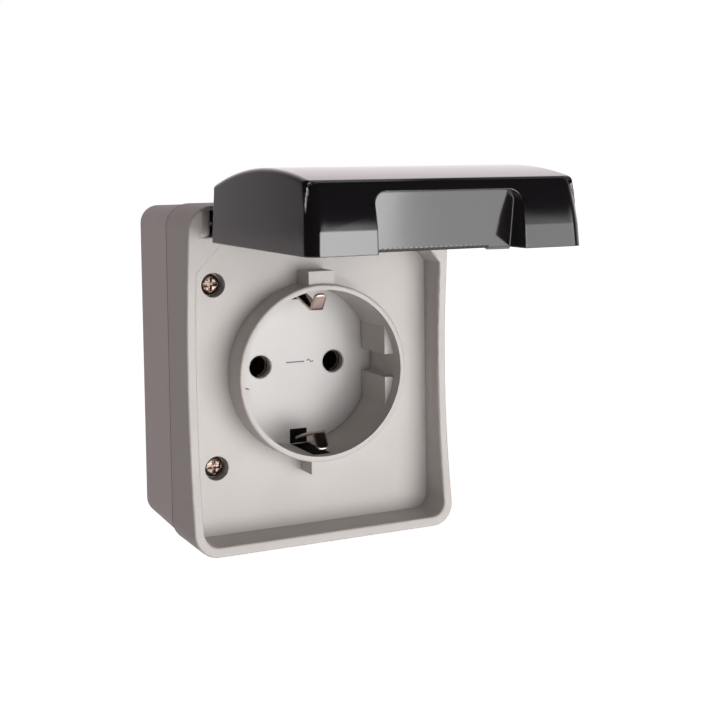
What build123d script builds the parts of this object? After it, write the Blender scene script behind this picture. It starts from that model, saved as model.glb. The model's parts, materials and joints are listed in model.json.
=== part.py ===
from build123d import *
from math import radians, sqrt, tan
import os

# Surface-mounted outdoor socket with a hinged lid, shown with the lid open.
# Millimetres. X to the right, Y into the wall, Z up. The origin lies on the wall face, on the
# axis of the plug dish. A depth is a distance from the wall towards the user, along -Y.

# Outline of the housing
cover_width = 65.2
cover_height = 79.4
outline_rise = 0.3
corner_radius = 5.5
least_corner = 1.5
cover_step = 0.4
box_depth = 24.6
box_draft = 1.6
box_wall = 2.0
seam_gap = 0.3

# Clearances
running_gap = 0.05
loose_gap = 0.1
fit_gap = 0.3
overcut = 1.0

# Seal between box and cover
skirt_wall = 1.1
tongue_wall = 0.9
tongue_height = 1.8
gasket_height = 1.6

# Cover front
cover_wall = 2.2
rim_band = 2.3
rim_depth = 38.8
rim_arc_radius = 201.0
rim_edge = 0.5
plate_depth = 32.2
plate_wall = 2.5
recess_radius = 3.5
chamfer_along = 6.4
chamfer_across = 5.7
chamfer_drop = 4.8

# Plug dish
dish_radius = 19.6
dish_wall = 1.3
dish_front = 40.3
dish_depth = 17.5
dish_edge = 0.5
dish_tube_wall = 1.8
key_half_width = 17.1
key_front = 36.7
key_slot_half = 2.8
lug_width = 6.4
lug_reach = 3.0
lug_front = 39.0

# Hinge
hinge_depth = 37.4
hinge_drop = 4.0
barrel_radius = 2.65
trough_radius = 3.0
trough_edge = 0.4
cheek = 2.6
pin_radius = 1.0
pin_chamfer = 0.2
web_half_width = 21.5
web_thickness = 2.6

# Lid, drawn in its open position
lid_side_gap = 0.9
lid_underside = 32.2
lid_back = 42.7
lid_reach = 105.5
lid_corner_along = 7.4
lid_corner_across = 5.8
lid_nose_radius = 3.0
lid_draft = 2.5
lid_wall = 2.0
lid_crown = 48.5
lid_top_round = 1.0
crown_depth = 79.0
crown_radius = 115.0
facet_height = 37.9
facet_angle = 16.5
grip_half_width = 16.0
grip_top = 43.9
grip_setback = 6.8
grip_angle = 10.0
grip_corner = 2.5
grip_skin = 1.0
seal_tube_wall = 3.2
seal_tube_inset = 0.6
seal_width = 1.9
seal_height = 2.6
seal_groove = 1.0
seal_lip = 0.4

# Socket insert
face_thickness = 2.5
face_radius = 22.5
pin_spacing = 19.0
pin_hole_radius = 2.7
pin_hole_chamfer = 0.25
base_radius = 21.5
base_back = 2.3
ear_depth = 12.0
ear_thickness = 3.0
ear_half_height = 3.4
ear_side_gap = 3.6
ear_end = 3.0
peg_radius = 1.2
peg_length = 3.0
peg_circle = 16.0
seal_ring_offset = 0.4
seal_ring_width = 1.2
seal_ring_depth = 0.8

# Current-carrying parts
sleeve_bore = 2.45
sleeve_wall = 0.6
sleeve_back = 5.0
sleeve_front = 19.5
sleeve_slit = 0.8
sleeve_slit_length = 11.0
well_floor = 1.2
strip_thickness = 0.7
strip_depth = 7.0
strip_half_width = 2.0
strip_foot = 29.0

# Terminals
terminal_width = 6.4
terminal_height = 6.8
terminal_depth = 7.2
terminal_z = -26.6
terminal_back = 6.2
terminal_chamfer = 0.4
window_width = 4.6
window_depth = 3.6
block_half_width = 15.4
block_front = 14.0
block_foot = 31.4
block_height = 12.6
wire_entry_radius = 1.7
wire_entry_depth = 9.0

# Earth contact
earth_width = 3.0
earth_bend = 0.9
earth_tip_round = 1.1
earth_root = 18.2
earth_apex_depth = 35.5
earth_apex_radius = 14.2
earth_tip_depth = 38.3
earth_tip_radius = 18.4
earth_slot_width = 3.8
earth_slot_inner = 16.4
earth_slot_outer = 19.4
earth_tail_inner = 1.9
earth_tail_outer = 3.4
earth_tail_top = 12.7
earth_foot_half = 1.5
earth_foot_height = 1.3

# Screws and fixing holes
cover_screw_inset = 8.6
cover_screw_z = 21.3
screw_hole_radius = 2.85
screw_sink = 4.0
boss_radius = 4.3
boss_floor = 1.6
post_radius = 3.2
cover_screw_head = 2.45
cover_screw_head_height = 1.9
cover_screw_thread = 1.45
cover_screw_length = 19.0
insert_screw_head = 2.7
insert_screw_head_height = 2.0
insert_screw_thread = 1.25
insert_screw_length = 10.0
terminal_screw_head = 2.4
terminal_screw_head_height = 1.8
terminal_screw_thread = 1.45
terminal_screw_length = 3.4
screw_tip_room = 0.9
fixing_inset_x = 10.6
fixing_inset_z = 8.7
fixing_hole_radius = 2.3
fixing_rim = 1.6
fixing_rim_height = 1.0

# Shape of a screw head, as shares of its radius and height
dome_share = 0.6
recess_length_share = 1.3
recess_breadth_share = 0.3
recess_sink_share = 0.62
tip_chamfer_share = 0.4

# Hooks that hold the right side of the cover
hook_z = 15.0
hook_width = 8.0
hook_wall = 1.7
hook_back = 19.0
hook_barb = 1.0
hook_barb_length = 2.0
hook_gap = 0.35

# Cable entry
entry_depth = 12.5
entry_radius = 8.0
entry_flat_radius = 10.2
entry_inset = 0.45
entry_wall = 2.45
grommet_flange = 9.6
grommet_flange_height = 1.4
grommet_lip = 8.7
grommet_lip_height = 1.2
grommet_lip_lead = 0.5
grommet_wall = 2.0
grommet_ring_outer = 5.6
grommet_ring_top = 4.6
grommet_ring_inner = 3.4
grommet_ring_height = 3.0
membrane_radius = 2.6
membrane_back = 0.2
membrane_front = 1.0

# Values that follow from the sizes above
half_width = cover_width / 2
top_edge = outline_rise + cover_height / 2
bottom_edge = outline_rise - cover_height / 2
rim_rise = rim_arc_radius - sqrt(rim_arc_radius**2 - (cover_height / 2) ** 2)
rim_crest = rim_depth + rim_rise
plate_back = plate_depth - plate_wall
floor_depth = dish_front - dish_depth
face_back = floor_depth - face_thickness
tube_end = floor_depth + fit_gap
seam_depth = box_depth + seam_gap
gasket_back = box_depth + tongue_height
gasket_front = gasket_back + gasket_height
tongue_outer_inset = skirt_wall + fit_gap
tongue_inner_inset = tongue_outer_inset + tongue_wall
hook_inset = cover_step + box_wall + hook_gap
recess_half_width = half_width - rim_band
recess_bottom = bottom_edge + rim_band
hinge_height = top_edge - hinge_drop
chamfer_half_width = recess_half_width - chamfer_across
chamfer_end = hinge_height - chamfer_drop
chamfer_start = hinge_height - (chamfer_drop + chamfer_along)
box_shrink = box_depth * tan(radians(box_draft))
trough_half_length = half_width - cheek
barrel_half_length = trough_half_length - fit_gap
lid_half_width = recess_half_width - lid_side_gap
grip_foot_depth = lid_reach - grip_setback
lid_dish_depth = hinge_depth + hinge_height
lid_blank_height = lid_crown - lid_underside + overcut
nose_y = -lid_reach
back_y = -lid_back
seal_foot = hinge_height + dish_front - hinge_depth + fit_gap
sleeve_radius = sleeve_bore + sleeve_wall
terminal_pitch = pin_spacing / 2
terminal_front = terminal_back + terminal_depth
screw_seat_depth = plate_depth - screw_sink
cover_post_front = screw_seat_depth - boss_floor - fit_gap
cover_screw_x = cover_screw_inset - half_width
ear_reach = half_width - ear_side_gap
insert_screw_x = ear_reach - ear_end
fixing_x = half_width - fixing_inset_x
fixing_z = cover_height / 2 - fixing_inset_z
entry_flat = -bottom_edge - entry_inset
cover_screw_places = [(cover_screw_x, cover_screw_z), (cover_screw_x, -cover_screw_z)]
insert_screw_places = [(insert_screw_x, 0), (-insert_screw_x, 0)]
pin_places = [(-pin_spacing / 2, 0), (pin_spacing / 2, 0)]
cover_pilot = cover_screw_length - screw_seat_depth + cover_post_front + screw_tip_room
insert_pilot = insert_screw_length - ear_thickness + screw_tip_room


def outline(inset):
    # Rounded outline of the cover, drawn a set distance inside its outer face
    with Locations((0, outline_rise)):
        RectangleRounded(
            cover_width - 2 * inset,
            cover_height - 2 * inset,
            max(corner_radius - inset, least_corner),
        )


def frame(outer_inset, inner_inset):
    # Closed band between two insets of the cover outline
    outline(outer_inset)
    with Locations((0, outline_rise)):
        RectangleRounded(
            cover_width - 2 * inner_inset,
            cover_height - 2 * inner_inset,
            max(corner_radius - inner_inset, least_corner),
            mode=Mode.SUBTRACT,
        )


def front_plane(depth):
    # Plane parallel to the wall, facing the user
    return Plane.XZ.offset(depth)


def pan_screw(head_radius, head_height, shank_radius, shank_length):
    # Screw with a domed cross-recess head, its seat on the XY plane and its head above it
    with BuildPart() as screw:
        Cylinder(head_radius, head_height, align=(Align.CENTER, Align.CENTER, Align.MIN))
        fillet(screw.edges().group_by(Axis.Z)[-1], head_height * dome_share)
        with Locations((0, 0, -shank_length)):
            Cylinder(shank_radius, shank_length, align=(Align.CENTER, Align.CENTER, Align.MIN))
        chamfer(screw.edges().group_by(Axis.Z)[0], shank_radius * tip_chamfer_share)
        with BuildSketch(Plane.XY.offset(head_height)):
            Rectangle(head_radius * recess_length_share, head_radius * recess_breadth_share)
            Rectangle(head_radius * recess_breadth_share, head_radius * recess_length_share)
        extrude(amount=-head_height * recess_sink_share, mode=Mode.SUBTRACT)
    return screw.part


def slotted_screw(head_radius, head_height, shank_radius, shank_length):
    # Cheese-head terminal screw, its seat on the XY plane
    with BuildPart() as screw:
        Cylinder(head_radius, head_height, align=(Align.CENTER, Align.CENTER, Align.MIN))
        with Locations((0, 0, -shank_length)):
            Cylinder(shank_radius, shank_length, align=(Align.CENTER, Align.CENTER, Align.MIN))
        with BuildSketch(Plane.XY.offset(head_height)):
            Rectangle(head_radius * 2 + overcut, head_radius * recess_breadth_share)
        extrude(amount=-head_height * recess_sink_share, mode=Mode.SUBTRACT)
    return screw.part


def facing_user(x, depth, z):
    # Turns a screw drawn head up so that its head faces the user
    return Pos(x, -depth, z) * Rot(90, 0, 0)


# Back box
with BuildPart() as back_box:
    with BuildSketch(front_plane(0)):
        outline(cover_step + box_shrink)
    extrude(amount=box_depth, taper=-box_draft)
    with BuildSketch(front_plane(box_wall)):
        outline(cover_step + box_shrink + box_wall)
    extrude(amount=box_depth, taper=-box_draft, mode=Mode.SUBTRACT)
    # Tongue that presses into the cover seal
    with BuildSketch(front_plane(box_depth - overcut)):
        frame(tongue_outer_inset, tongue_inner_inset)
    extrude(amount=overcut + tongue_height)
    # Flat land for the cable entry
    with BuildSketch(Plane.XY.offset(-entry_flat)):
        with Locations((0, -entry_depth)):
            Circle(entry_flat_radius)
    extrude(amount=entry_wall)
    with BuildSketch(Plane.XY.offset(-entry_flat + entry_wall)):
        with Locations((0, -entry_depth)):
            Circle(entry_flat_radius)
    extrude(amount=overcut, mode=Mode.SUBTRACT)
    # Posts for the cover screws and for the insert
    with BuildSketch(front_plane(box_wall)):
        with Locations(cover_screw_places):
            Circle(post_radius)
    extrude(amount=cover_post_front - box_wall)
    with BuildSketch(front_plane(box_wall)):
        with Locations(insert_screw_places):
            Circle(post_radius)
    extrude(amount=ear_depth - box_wall)
    # Raised rims round the wall-fixing holes
    with BuildSketch(front_plane(box_wall)):
        with GridLocations(2 * fixing_x, 2 * fixing_z, 2, 2):
            Circle(fixing_hole_radius + fixing_rim)
    extrude(amount=fixing_rim_height)
    with BuildSketch(front_plane(0)):
        with GridLocations(2 * fixing_x, 2 * fixing_z, 2, 2):
            Circle(fixing_hole_radius)
    extrude(amount=box_wall + fixing_rim_height, mode=Mode.SUBTRACT)
    # Pilot holes
    with BuildSketch(front_plane(cover_post_front)):
        with Locations(cover_screw_places):
            Circle(cover_screw_thread + running_gap)
    extrude(amount=-cover_pilot, mode=Mode.SUBTRACT)
    with BuildSketch(front_plane(ear_depth)):
        with Locations(insert_screw_places):
            Circle(insert_screw_thread + running_gap)
    extrude(amount=-insert_pilot, mode=Mode.SUBTRACT)
    # Pockets in the right wall that catch the hooks of the cover
    pocket_x = half_width - hook_inset + hook_barb + fit_gap
    with BuildSketch(front_plane(hook_back - fit_gap)):
        with Locations((pocket_x, hook_z), (pocket_x, -hook_z)):
            Rectangle(
                hook_barb + 2 * fit_gap,
                hook_width + 2 * fit_gap,
                align=(Align.MAX, Align.CENTER),
            )
    extrude(amount=hook_barb_length + 2 * fit_gap, mode=Mode.SUBTRACT)
    # Cable entry
    with BuildSketch(Plane.XY.offset(-entry_flat)):
        with Locations((0, -entry_depth)):
            Circle(entry_radius)
    extrude(amount=entry_wall, mode=Mode.SUBTRACT)
back_box.part.label = "back_box"

# Cover with rim, plate, plug dish and hinge trough
with BuildPart() as cover:
    with BuildSketch(front_plane(seam_depth)):
        outline(0)
    extrude(amount=rim_crest + overcut - seam_depth)
    # Hollow back with the rebate for the seal
    with BuildSketch(front_plane(seam_depth)):
        outline(cover_wall)
    extrude(amount=plate_back - seam_depth, mode=Mode.SUBTRACT)
    with BuildSketch(front_plane(seam_depth)):
        outline(skirt_wall)
    extrude(amount=gasket_front - seam_depth, mode=Mode.SUBTRACT)
    # Waisted front of the rim with its rounded outer edge
    with BuildSketch(Plane.YZ):
        with Locations((-rim_depth - rim_arc_radius, outline_rise)):
            Circle(rim_arc_radius)
    extrude(amount=cover_width, both=True, mode=Mode.SUBTRACT)
    front_edges = cover.edges().filter_by(lambda e: e.bounding_box().max.Y < -plate_depth)
    fillet(front_edges, rim_edge)
    # Recessed plate
    with BuildSketch(front_plane(plate_depth)) as recess:
        with BuildLine():
            Polyline(
                (-recess_half_width, recess_bottom),
                (recess_half_width, recess_bottom),
                (recess_half_width, chamfer_start),
                (chamfer_half_width, chamfer_end),
                (chamfer_half_width, hinge_height),
                (-chamfer_half_width, hinge_height),
                (-chamfer_half_width, chamfer_end),
                (-recess_half_width, chamfer_start),
                close=True,
            )
        make_face()
        fillet(recess.vertices().group_by(Axis.Y)[0], recess_radius)
    extrude(amount=rim_crest + overcut - plate_depth, mode=Mode.SUBTRACT)
    mouth_edges = cover.edges(Select.LAST).filter_by(
        lambda e: e.bounding_box().max.Y < -plate_depth - overcut
    )
    fillet(mouth_edges, rim_edge)
    # Hinge trough
    with BuildSketch(Plane.YZ):
        with Locations((-hinge_depth, hinge_height)):
            Circle(trough_radius)
            Rectangle(
                rim_crest + overcut - hinge_depth,
                2 * trough_radius,
                align=(Align.MAX, Align.CENTER),
            )
    extrude(amount=trough_half_length, both=True, mode=Mode.SUBTRACT)
    sill_edges = cover.edges(Select.LAST).filter_by(
        lambda e: e.center().Y < -hinge_depth - trough_radius
        and abs(e.center().Z - hinge_height + trough_radius) < running_gap
    )
    fillet(sill_edges, trough_edge)
    # Collar of the dish, its tube behind the plate and the two lugs
    with BuildSketch(front_plane(plate_back)):
        Circle(dish_radius + dish_wall)
    extrude(amount=dish_front - plate_back)
    collar_edges = cover.edges().filter_by_position(
        Axis.Y, -dish_front - running_gap, -dish_front + running_gap
    )
    fillet(collar_edges.filter_by(GeomType.CIRCLE).sort_by(SortBy.LENGTH)[-1], dish_edge)
    with BuildSketch(front_plane(tube_end)):
        Circle(dish_radius + dish_tube_wall)
    extrude(amount=plate_back - tube_end)
    with BuildSketch(front_plane(plate_back)):
        with Locations((0, dish_radius + lug_reach / 2), (0, -dish_radius - lug_reach / 2)):
            Rectangle(lug_width, lug_reach + 2 * dish_wall)
    extrude(amount=lug_front - plate_back)
    with BuildSketch(front_plane(tube_end)):
        Circle(dish_radius)
    extrude(amount=dish_depth, mode=Mode.SUBTRACT)
    # Guide blocks at both sides of the dish
    with BuildSketch(front_plane(tube_end)):
        Circle(dish_radius + dish_wall / 2)
        Rectangle(2 * key_half_width, 3 * dish_radius, mode=Mode.SUBTRACT)
        Rectangle(3 * dish_radius, 2 * key_slot_half, mode=Mode.SUBTRACT)
    extrude(amount=key_front - tube_end)
    # Screw bosses
    with BuildSketch(front_plane(screw_seat_depth - boss_floor)):
        with Locations(cover_screw_places):
            Circle(boss_radius)
    extrude(amount=plate_back - screw_seat_depth + boss_floor)
    with BuildSketch(front_plane(screw_seat_depth)):
        with Locations(cover_screw_places):
            Circle(screw_hole_radius)
    extrude(amount=plate_depth - screw_seat_depth, mode=Mode.SUBTRACT)
    with BuildSketch(front_plane(screw_seat_depth)):
        with Locations(cover_screw_places):
            Circle(cover_screw_thread + fit_gap)
    extrude(amount=-boss_floor, mode=Mode.SUBTRACT)
    # Hooks on the right side
    hook_x = half_width - hook_inset
    with BuildSketch(front_plane(hook_back)):
        with Locations((hook_x, hook_z), (hook_x, -hook_z)):
            Rectangle(hook_wall, hook_width, align=(Align.MAX, Align.CENTER))
    extrude(amount=plate_back - hook_back)
    with BuildSketch(front_plane(hook_back)):
        with Locations((hook_x, hook_z), (hook_x, -hook_z)):
            Rectangle(hook_barb, hook_width, align=(Align.MIN, Align.CENTER))
    extrude(amount=hook_barb_length)
    # Holes for the hinge pin, blind on the left and through on the right
    with BuildSketch(Plane.YZ.offset(-half_width + cheek / 2)):
        with Locations((-hinge_depth, hinge_height)):
            Circle(pin_radius)
    extrude(amount=cover_width, mode=Mode.SUBTRACT)
cover.part.label = "cover"

# Seal between box and cover
with BuildPart() as cover_gasket:
    with BuildSketch(front_plane(gasket_back)):
        frame(skirt_wall + loose_gap, cover_wall + loose_gap)
    extrude(amount=gasket_height)
cover_gasket.part.label = "cover_gasket"


def lid_plan(inset):
    # Outline of the lid seen from above, drawn a set distance inside its outer walls
    diagonal = sqrt(lid_corner_along**2 + lid_corner_across**2)
    side_x = lid_half_width - inset
    step_x = inset * (diagonal - lid_corner_across) / lid_corner_along
    step_y = inset * (diagonal - lid_corner_along) / lid_corner_across
    corner_x = lid_half_width - lid_corner_across - step_x
    corner_y = back_y - lid_corner_along - step_y
    Polygon(
        (-corner_x, back_y - inset),
        (-side_x, corner_y),
        (-side_x, nose_y + inset),
        (side_x, nose_y + inset),
        (side_x, corner_y),
        (corner_x, back_y - inset),
        align=None,
    )


def lid_side(inset):
    # Side profile of the lid under its crowned top, drawn a set distance inside
    top = lid_crown + overcut
    lean = (top - facet_height) * tan(radians(facet_angle))
    Polygon(
        (nose_y + inset, lid_underside),
        (back_y - inset, lid_underside),
        (back_y - inset, top),
        (nose_y + inset + lean, top),
        (nose_y + inset, facet_height),
        align=None,
    )
    with Locations((-crown_depth, lid_crown - crown_radius)):
        Circle(crown_radius - inset, mode=Mode.INTERSECT)


with BuildPart() as lid_shell:
    with BuildSketch(Plane.XY.offset(lid_underside)):
        lid_plan(0)
    extrude(amount=lid_blank_height, taper=lid_draft)
    with BuildSketch(Plane.YZ):
        lid_side(0)
    extrude(amount=cover_width, both=True, mode=Mode.INTERSECT)
    # The front corners are rounded over their whole height, then the edge of the crown
    corner_edges = lid_shell.edges().filter_by(
        lambda e: e.center().Y < nose_y + lid_nose_radius and abs((e @ 1 - e @ 0).Z) > overcut
    )
    fillet(corner_edges, lid_nose_radius)
    fillet(lid_shell.faces().sort_by(Axis.Z)[-1].edges(), lid_top_round)

with BuildPart() as lid_hollow:
    with BuildSketch(Plane.XY.offset(lid_underside)) as inner_plan:
        lid_plan(lid_wall)
        fillet(inner_plan.vertices().group_by(Axis.Y)[0], lid_nose_radius - lid_wall / 2)
    extrude(amount=lid_blank_height, taper=lid_draft)
    with BuildSketch(Plane.YZ):
        lid_side(lid_wall)
    extrude(amount=cover_width, both=True, mode=Mode.INTERSECT)

# Wedge-shaped finger grip at the free end, and the wall that closes it inside
grip_lean = (grip_top - lid_underside) * tan(radians(grip_angle))
with BuildPart() as grip:
    with BuildSketch(Plane.YZ):
        with BuildLine():
            Polyline(
                (nose_y - overcut, lid_underside - overcut),
                (-grip_foot_depth, lid_underside - overcut),
                (-grip_foot_depth, lid_underside),
                (-grip_foot_depth - grip_lean, grip_top),
                (nose_y - overcut, grip_top),
                close=True,
            )
        make_face()
    extrude(amount=grip_half_width, both=True)
    fillet(grip.edges().filter_by(Axis.Y).group_by(Axis.Z)[-1], grip_corner)

with BuildPart() as grip_wall:
    with BuildSketch(Plane.YZ):
        with BuildLine():
            Polyline(
                (nose_y + lid_wall / 2, lid_underside),
                (-grip_foot_depth + grip_skin, lid_underside),
                (-grip_foot_depth - grip_lean + grip_skin, lid_crown),
                (nose_y + lid_wall / 2, lid_crown),
                close=True,
            )
        make_face()
    extrude(amount=grip_half_width + lid_wall, both=True)
    add(lid_shell.part, mode=Mode.INTERSECT)

with BuildPart() as lid:
    add(lid_shell.part)
    add(lid_hollow.part, mode=Mode.SUBTRACT)
    add(grip_wall.part)
    add(grip.part, mode=Mode.SUBTRACT)
    # Round tube under the lid that carries the dish seal
    with BuildSketch(Plane.XY.offset(seal_foot + seal_height - seal_groove)):
        with Locations((0, -lid_dish_depth)):
            Circle(dish_radius + seal_tube_wall)
            Circle(dish_radius - seal_tube_inset, mode=Mode.SUBTRACT)
    extrude(until=Until.NEXT)
    with BuildSketch(Plane.XY.offset(seal_foot + seal_height - seal_groove)):
        with Locations((0, -lid_dish_depth)):
            Circle(dish_radius + seal_width)
            Circle(dish_radius, mode=Mode.SUBTRACT)
    extrude(amount=seal_groove, mode=Mode.SUBTRACT)
    # Hinge barrel and the web that joins it to the back wall
    with BuildSketch(Plane.YZ):
        with Locations((-hinge_depth, hinge_height)):
            Circle(barrel_radius)
    extrude(amount=barrel_half_length, both=True)
    with BuildSketch(Plane.YZ):
        with Locations((-hinge_depth, hinge_height)):
            Rectangle(
                lid_back - hinge_depth + lid_wall / 2,
                web_thickness,
                align=(Align.MAX, Align.CENTER),
            )
    extrude(amount=web_half_width, both=True)
    with BuildSketch(Plane.YZ):
        with Locations((-hinge_depth, hinge_height)):
            Circle(pin_radius + running_gap)
    extrude(amount=cover_width, both=True, mode=Mode.SUBTRACT)
lid.part.label = "lid"

# Seal ring under the lid that closes on the collar of the dish
with BuildPart() as lid_seal:
    with BuildSketch(Plane.XY.offset(seal_foot)):
        with Locations((0, -lid_dish_depth)):
            Circle(dish_radius + seal_width)
            Circle(dish_radius, mode=Mode.SUBTRACT)
    extrude(amount=seal_height)
    chamfer(lid_seal.edges().group_by(Axis.Z)[0], seal_lip)
lid_seal.part.label = "lid_seal"

# Hinge pin
with BuildPart() as hinge_pin:
    with BuildSketch(Plane.YZ.offset(-half_width + cheek / 2 + loose_gap)):
        with Locations((-hinge_depth, hinge_height)):
            Circle(pin_radius)
    extrude(amount=cover_width - cheek / 2 - loose_gap - fit_gap)
    chamfer(hinge_pin.edges().filter_by(GeomType.CIRCLE), pin_chamfer)
hinge_pin.part.label = "hinge_pin"

# White face of the insert, the floor of the dish
with BuildPart() as socket_face:
    with BuildSketch(front_plane(face_back)):
        Circle(face_radius)
    extrude(amount=face_thickness)
    with BuildSketch(front_plane(floor_depth - seal_ring_depth)):
        Circle(dish_radius + seal_ring_offset + seal_ring_width)
        Circle(dish_radius + seal_ring_offset, mode=Mode.SUBTRACT)
    extrude(amount=seal_ring_depth, mode=Mode.SUBTRACT)
    with BuildSketch(front_plane(face_back)):
        with Locations(pin_places):
            Circle(pin_hole_radius)
        slot_middle = (earth_slot_inner + earth_slot_outer) / 2
        with Locations((0, slot_middle), (0, -slot_middle)):
            Rectangle(earth_slot_width, earth_slot_outer - earth_slot_inner)
    extrude(amount=face_thickness, mode=Mode.SUBTRACT)
    hole_edges = socket_face.edges().filter_by(GeomType.CIRCLE).filter_by_position(
        Axis.Y, -floor_depth - running_gap, -floor_depth + running_gap
    )
    chamfer(hole_edges.sort_by(SortBy.LENGTH)[:2], pin_hole_chamfer)
    # Pegs that hold the face on the base
    with BuildSketch(front_plane(face_back)):
        with PolarLocations(peg_circle, 4, start_angle=45):
            Circle(peg_radius)
    extrude(amount=-peg_length)
socket_face.part.label = "socket_face"

# Soft ring between the face and the tube of the dish
with BuildPart() as dish_seal:
    with BuildSketch(front_plane(floor_depth - seal_ring_depth)):
        Circle(dish_radius + seal_ring_offset + seal_ring_width - running_gap)
        Circle(dish_radius + seal_ring_offset + running_gap, mode=Mode.SUBTRACT)
    extrude(amount=seal_ring_depth + fit_gap)
dish_seal.part.label = "dish_seal"

# Moulded base that carries the contacts and the terminals
with BuildPart() as socket_base:
    with BuildSketch(front_plane(base_back)):
        Circle(base_radius)
    extrude(amount=face_back - base_back)
    with BuildSketch(front_plane(ear_depth)):
        Rectangle(2 * ear_reach, 2 * ear_half_height)
    extrude(amount=ear_thickness)
    with BuildSketch(front_plane(base_back)):
        with Locations((0, -block_foot)):
            Rectangle(2 * block_half_width, block_height, align=(Align.CENTER, Align.MIN))
    extrude(amount=block_front - base_back)
    with BuildSketch(front_plane(ear_depth)):
        with Locations(insert_screw_places):
            Circle(insert_screw_thread + fit_gap)
    extrude(amount=ear_thickness, mode=Mode.SUBTRACT)
    with BuildSketch(front_plane(face_back)):
        with PolarLocations(peg_circle, 4, start_angle=45):
            Circle(peg_radius + running_gap)
    extrude(amount=-peg_length - fit_gap, mode=Mode.SUBTRACT)
    # Wells for the pins of a plug and for the contact sleeves
    with BuildSketch(front_plane(face_back)):
        with Locations(pin_places):
            Circle(sleeve_radius + fit_gap)
    extrude(amount=-(face_back - base_back - well_floor), mode=Mode.SUBTRACT)
    # Channels for the strips that run down to the terminals
    with BuildSketch(front_plane(strip_depth)):
        with Locations(pin_places):
            Rectangle(
                2 * (strip_half_width + fit_gap),
                -terminal_z,
                align=(Align.CENTER, Align.MAX),
            )
    extrude(amount=face_back - strip_depth, mode=Mode.SUBTRACT)
    # Pockets for the terminals
    with BuildSketch(front_plane(terminal_back)):
        with Locations((0, terminal_z)):
            with GridLocations(terminal_pitch, 1, 3, 1):
                Rectangle(terminal_width + 2 * fit_gap, terminal_height + 2 * fit_gap)
    extrude(amount=block_front - terminal_back, mode=Mode.SUBTRACT)
    # Wire entries from below
    with BuildSketch(Plane.XY.offset(-block_foot)):
        with Locations((0, -wire_entry_depth)):
            with GridLocations(terminal_pitch, 1, 3, 1):
                Circle(wire_entry_radius)
    extrude(amount=block_foot + terminal_z - terminal_height / 2, mode=Mode.SUBTRACT)
    # Groove for the earth bar, its two legs and its tail
    groove_half = earth_root + strip_thickness / 2 + fit_gap
    with BuildSketch(front_plane(face_back)):
        Rectangle(earth_width + 2 * fit_gap, 2 * groove_half)
        with Locations((0, -earth_tail_top + fit_gap)):
            Rectangle(
                earth_tail_outer + fit_gap,
                base_radius - earth_tail_top + overcut,
                align=(Align.MIN, Align.MAX),
            )
    extrude(amount=-strip_thickness - loose_gap, mode=Mode.SUBTRACT)
    with BuildSketch(front_plane(strip_depth)):
        with Locations((earth_tail_outer + fit_gap, -base_radius + fit_gap)):
            Rectangle(
                earth_tail_outer + earth_foot_half + 2 * fit_gap,
                earth_foot_height + 2 * fit_gap,
                align=(Align.MAX, Align.MAX),
            )
    extrude(amount=face_back - strip_depth, mode=Mode.SUBTRACT)
socket_base.part.label = "socket_base"


def contact(side):
    # Slit sleeve for one plug pin with the strip that leads to its terminal
    with BuildPart() as piece:
        with BuildSketch(front_plane(sleeve_back)):
            with Locations((side * pin_spacing / 2, 0)):
                Circle(sleeve_radius)
                Circle(sleeve_bore, mode=Mode.SUBTRACT)
        extrude(amount=sleeve_front - sleeve_back)
        with BuildSketch(front_plane(sleeve_front)):
            with Locations((side * pin_spacing / 2, 0)):
                Rectangle(sleeve_slit, 4 * sleeve_radius)
        extrude(amount=-sleeve_slit_length, mode=Mode.SUBTRACT)
        with BuildSketch(front_plane(strip_depth)):
            with Locations((side * pin_spacing / 2, 0)):
                Rectangle(2 * strip_half_width, strip_foot, align=(Align.CENTER, Align.MAX))
                Circle(sleeve_bore + sleeve_wall / 2, mode=Mode.SUBTRACT)
        extrude(amount=strip_thickness)
    return piece.part


contact_line = contact(-1)
contact_line.label = "contact_line"
contact_neutral = contact(1)
contact_neutral.label = "contact_neutral"


def terminal(x):
    # Brass clamp with a window for the strip and the wire
    with BuildPart() as clamp:
        with BuildSketch(front_plane(terminal_back)):
            with Locations((x, terminal_z)):
                Rectangle(terminal_width, terminal_height)
        extrude(amount=terminal_depth)
        chamfer(clamp.edges().filter_by(Axis.Y), terminal_chamfer)
        with BuildSketch(Plane.XY.offset(terminal_z)):
            with Locations((x, -strip_depth)):
                Rectangle(window_width, window_depth, align=(Align.CENTER, Align.MAX))
        extrude(amount=terminal_height, both=True, mode=Mode.SUBTRACT)
        with BuildSketch(front_plane(terminal_front)):
            with Locations((x, terminal_z)):
                Circle(terminal_screw_thread + running_gap)
        extrude(amount=strip_depth + window_depth - terminal_front, mode=Mode.SUBTRACT)
    return clamp.part


terminal_line = terminal(-terminal_pitch)
terminal_line.label = "terminal_line"
terminal_earth = terminal(0)
terminal_earth.label = "terminal_earth"
terminal_neutral = terminal(terminal_pitch)
terminal_neutral.label = "terminal_neutral"

terminal_screw = slotted_screw(
    terminal_screw_head,
    terminal_screw_head_height,
    terminal_screw_thread,
    terminal_screw_length,
)
screw_line = facing_user(-terminal_pitch, terminal_front, terminal_z) * terminal_screw
screw_line.label = "screw_line"
screw_earth = facing_user(0, terminal_front, terminal_z) * terminal_screw
screw_earth.label = "screw_earth"
screw_neutral = facing_user(terminal_pitch, terminal_front, terminal_z) * terminal_screw
screw_neutral.label = "screw_neutral"


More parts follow.
